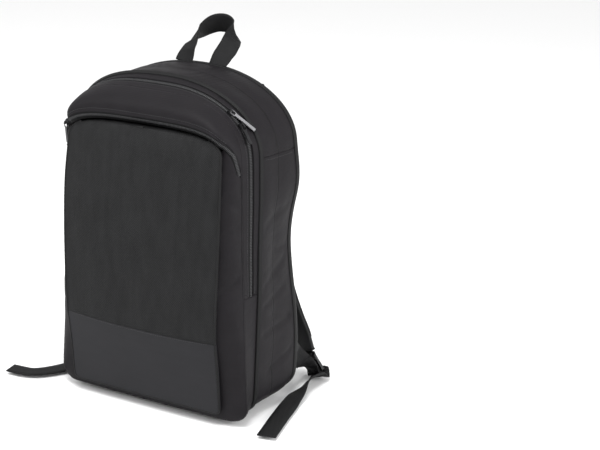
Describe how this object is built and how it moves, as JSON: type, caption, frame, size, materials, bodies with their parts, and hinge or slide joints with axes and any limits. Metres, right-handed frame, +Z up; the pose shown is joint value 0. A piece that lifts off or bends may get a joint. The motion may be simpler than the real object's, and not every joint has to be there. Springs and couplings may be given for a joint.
{
  "type": "laptop backpack",
  "caption": "Upright fabric laptop backpack with a front pocket, main zip, expansion gusset, top handle and padded shoulder straps.",
  "frame": {"origin": "centre of the flat base, in the plane of its underside", "axes": "+Z up, the front pocket faces -Y, the shoulder straps are at +Y, +X is the side with the main zip sliders"},
  "size_m": [0.4286, 0.2612, 0.5076],
  "materials": {
    "nylon": "satin woven nylon",
    "ballistic_nylon": "coarse woven nylon with fine pale flecks",
    "coated_nylon": "smooth coated nylon",
    "webbing": "ribbed webbing",
    "binding": "bound edge",
    "zip_tape": "zip tape and coil",
    "padding": "padded cloth",
    "black_metal": "black lacquer",
    "bright_metal": "satin",
    "plastic": "moulded"
  },
  "bodies": {
    "root": {"gusset_front_strip": "nylon", "gusset_rear_strip": "nylon", "gusset_base": "nylon", "expansion_gusset_top": "nylon", "expansion_gusset_lower": "nylon", "front_panel": "nylon", "pocket_gusset": "nylon", "pocket_panel": "ballistic_nylon", "pocket_lower_panel": "coated_nylon", "handle": "webbing", "buckle_loop_right": "webbing", "buckle_loop_left": "webbing", "strap_webbing_right": "webbing", "strap_webbing_left": "webbing", "expansion_welt": "binding", "back_piping": "binding", "anchor_tab_right": "binding", "anchor_tab_left": "binding", "main_zip": "zip_tape", "pocket_zip": "zip_tape", "back_pocket_zip": "zip_tape", "back_panel": "padding", "back_pad_upper": "padding", "back_pocket": "padding", "shoulder_strap_right": "padding", "shoulder_strap_left": "padding", "main_zip_front_slider": "black_metal", "main_zip_rear_slider": "black_metal", "main_zip_rear_pull": "black_metal", "pocket_zip_slider": "black_metal", "pocket_zip_pull": "black_metal", "back_pocket_slider": "black_metal", "back_pocket_pull": "black_metal", "main_zip_front_pull": "bright_metal", "buckle_right": "plastic", "buckle_left": "plastic"}
  },
  "joints": []
}
